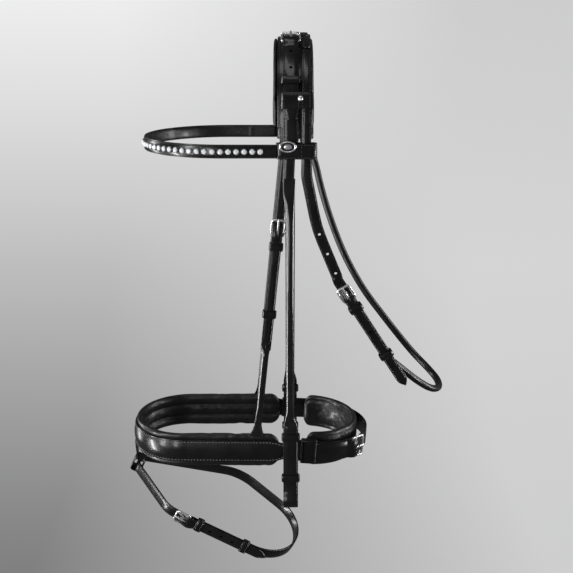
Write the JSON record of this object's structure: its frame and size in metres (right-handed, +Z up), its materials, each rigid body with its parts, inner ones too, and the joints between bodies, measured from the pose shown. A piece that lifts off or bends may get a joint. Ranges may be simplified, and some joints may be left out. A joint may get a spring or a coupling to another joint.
{
  "type": "snaffle bridle",
  "caption": "Black leather snaffle bridle with padded crown and noseband, crystal browband, rolled cheekpieces, flash strap and throatlash, hung as if worn.",
  "frame": {"origin": "centre of the circle that the inside of the crown pad makes over the poll", "axes": "+X towards the horse's neck, -Y its near (left) side, +Z up"},
  "size_m": [0.3646, 0.1838, 0.5936],
  "materials": {
    "bridle_leather": "glossy black bridle leather, pebbled grain",
    "padding_leather": "soft black lining leather, satin",
    "foam": "matt closed-cell foam",
    "buckle_steel": "polished steel",
    "cup_metal": "satin",
    "badge_metal": "polished, plain oval",
    "crystal": "faceted clear crystal"
  },
  "bodies": {
    "root": {"crown_pad": "padding_leather", "crown_foam": "foam", "crown_leather": "bridle_leather", "sliphead": "bridle_leather", "rear_strap": "bridle_leather", "rear_overlay": "bridle_leather", "cheek_upper_left": "bridle_leather", "cheek_upper_right": "bridle_leather", "crown_strap": "bridle_leather", "crown_buckle_left": "buckle_steel", "crown_buckle_right": "buckle_steel", "crown_keepers": "bridle_leather", "keeper_rivets": "buckle_steel"},
    "browband": {"browband_strap": "bridle_leather", "browband_lining": "padding_leather", "browband_loops": "bridle_leather", "badges": "badge_metal", "crystal_cups": "cup_metal", "crystals": "crystal"},
    "cheek_left": {"cheek_roll_left": "bridle_leather", "bit_billet_left": "bridle_leather", "hook_stud_left": "buckle_steel", "bit_keeper_upper_left": "bridle_leather"},
    "cheek_right": {"cheek_roll_right": "bridle_leather", "bit_billet_right": "bridle_leather", "hook_stud_right": "buckle_steel", "bit_keeper_upper_right": "bridle_leather"},
    "noseband": {"headstrap_billet": "bridle_leather", "headstrap_left": "bridle_leather", "headstrap_right": "bridle_leather", "headstrap_buckle": "buckle_steel", "headstrap_keeper_fixed": "bridle_leather", "noseband_leather": "bridle_leather", "noseband_padding": "padding_leather", "noseband_foam": "foam", "chin_chape": "bridle_leather", "chin_strap": "bridle_leather", "chin_buckle": "buckle_steel", "chin_pad": "padding_leather", "chin_keeper": "bridle_leather", "flash_loop": "bridle_leather"},
    "flash": {"flash_strap": "bridle_leather", "flash_buckle": "buckle_steel", "flash_keeper_fixed": "bridle_leather"},
    "throatlash": {"throat_strap": "bridle_leather", "throat_chape": "bridle_leather", "throat_buckle": "buckle_steel", "throat_keeper_fixed": "bridle_leather", "throat_roll": "bridle_leather"},
    "crown_tongue_left": {"crown_tongue_left": "buckle_steel"},
    "crown_tongue_right": {"crown_tongue_right": "buckle_steel"},
    "headstrap_tongue": {"headstrap_tongue": "buckle_steel"},
    "chin_tongue": {"chin_tongue": "buckle_steel"},
    "flash_tongue": {"flash_tongue": "buckle_steel"},
    "throat_tongue": {"throat_tongue": "buckle_steel"},
    "headstrap_keeper_sliding": {"headstrap_keeper_sliding": "bridle_leather"},
    "flash_keeper_sliding": {"flash_keeper_sliding": "bridle_leather"},
    "throat_keeper_sliding": {"throat_keeper_sliding": "bridle_leather"},
    "bit_keeper_lower_left": {"bit_keeper_lower_left": "bridle_leather"},
    "bit_keeper_lower_right": {"bit_keeper_lower_right": "bridle_leather"}
  },
  "joints": [
    {"name": "browband_slide", "type": "slide", "parent": "root", "child": "browband", "axis": [0, 0, 1], "range_m": [-0.004, 0.008]},
    {"name": "cheek_left_flex", "type": "hinge", "parent": "root", "child": "cheek_left", "pos_m": [-0.0044, -0.0856, -0.0455], "axis": [-1, 0, 0], "range_deg": [0, 30]},
    {"name": "cheek_right_flex", "type": "hinge", "parent": "root", "child": "cheek_right", "pos_m": [-0.0044, 0.0856, -0.0455], "axis": [1, 0, 0], "range_deg": [0, 30]},
    {"name": "noseband_swing", "type": "hinge", "parent": "root", "child": "noseband", "pos_m": [-0.0089, 0, -0.042], "axis": [0, 1, 0], "range_deg": [0, 6]},
    {"name": "flash_swing", "type": "hinge", "parent": "noseband", "child": "flash", "pos_m": [-0.18119, 0, -0.40378], "axis": [0, 1, 0], "range_deg": [-12, 8]},
    {"name": "throatlash_swing", "type": "hinge", "parent": "root", "child": "throatlash", "pos_m": [0.013, 0, -0.042], "axis": [0, 1, 0], "range_deg": [-8, 10]},
    {"name": "crown_tongue_left_lift", "type": "hinge", "parent": "root", "child": "crown_tongue_left", "pos_m": [-0.0025, -0.03555, 0.07984], "axis": [1, 0, 0], "range_deg": [0, 10]},
    {"name": "crown_tongue_right_lift", "type": "hinge", "parent": "root", "child": "crown_tongue_right", "pos_m": [-0.0025, 0.03555, 0.07984], "axis": [-1, 0, 0], "range_deg": [0, 10]},
    {"name": "headstrap_tongue_lift", "type": "hinge", "parent": "noseband", "child": "headstrap_tongue", "pos_m": [-0.01659, -0.07787, -0.11553], "axis": [0.995, 0, -0.0998], "range_deg": [0, 10]},
    {"name": "chin_tongue_lift", "type": "hinge", "parent": "noseband", "child": "chin_tongue", "pos_m": [0.06688, -0.04527, -0.36665], "axis": [-0.0523, 0.0523, -0.9973], "range_deg": [0, 10]},
    {"name": "flash_tongue_lift", "type": "hinge", "parent": "flash", "child": "flash_tongue", "pos_m": [-0.11841, -0.0549, -0.45244], "axis": [0.3989, -0.309, 0.8633], "range_deg": [0, 10]},
    {"name": "throat_tongue_lift", "type": "hinge", "parent": "throatlash", "child": "throat_tongue", "pos_m": [0.06036, -0.07214, -0.18659], "axis": [0.8504, 0, 0.5262], "range_deg": [0, 10]},
    {"name": "headstrap_keeper_sliding_slide", "type": "slide", "parent": "noseband", "child": "headstrap_keeper_sliding", "axis": [0.0996, -0.0605, 0.9932], "range_m": [-0.006, 0.02]},
    {"name": "flash_keeper_sliding_slide", "type": "slide", "parent": "flash", "child": "flash_keeper_sliding", "axis": [-0.8981, 0.0585, 0.4359], "range_m": [-0.003, 0.022]},
    {"name": "throat_keeper_sliding_slide", "type": "slide", "parent": "throatlash", "child": "throat_keeper_sliding", "axis": [-0.517, -0.1861, 0.8355], "range_m": [-0.004, 0.025]},
    {"name": "bit_keeper_lower_left_slide", "type": "slide", "parent": "cheek_left", "child": "bit_keeper_lower_left", "axis": [0, -0.0227, 0.9997], "range_m": [-0.008, 0.015]},
    {"name": "bit_keeper_lower_right_slide", "type": "slide", "parent": "cheek_right", "child": "bit_keeper_lower_right", "axis": [0, 0.0227, 0.9997], "range_m": [-0.008, 0.015]}
  ]
}
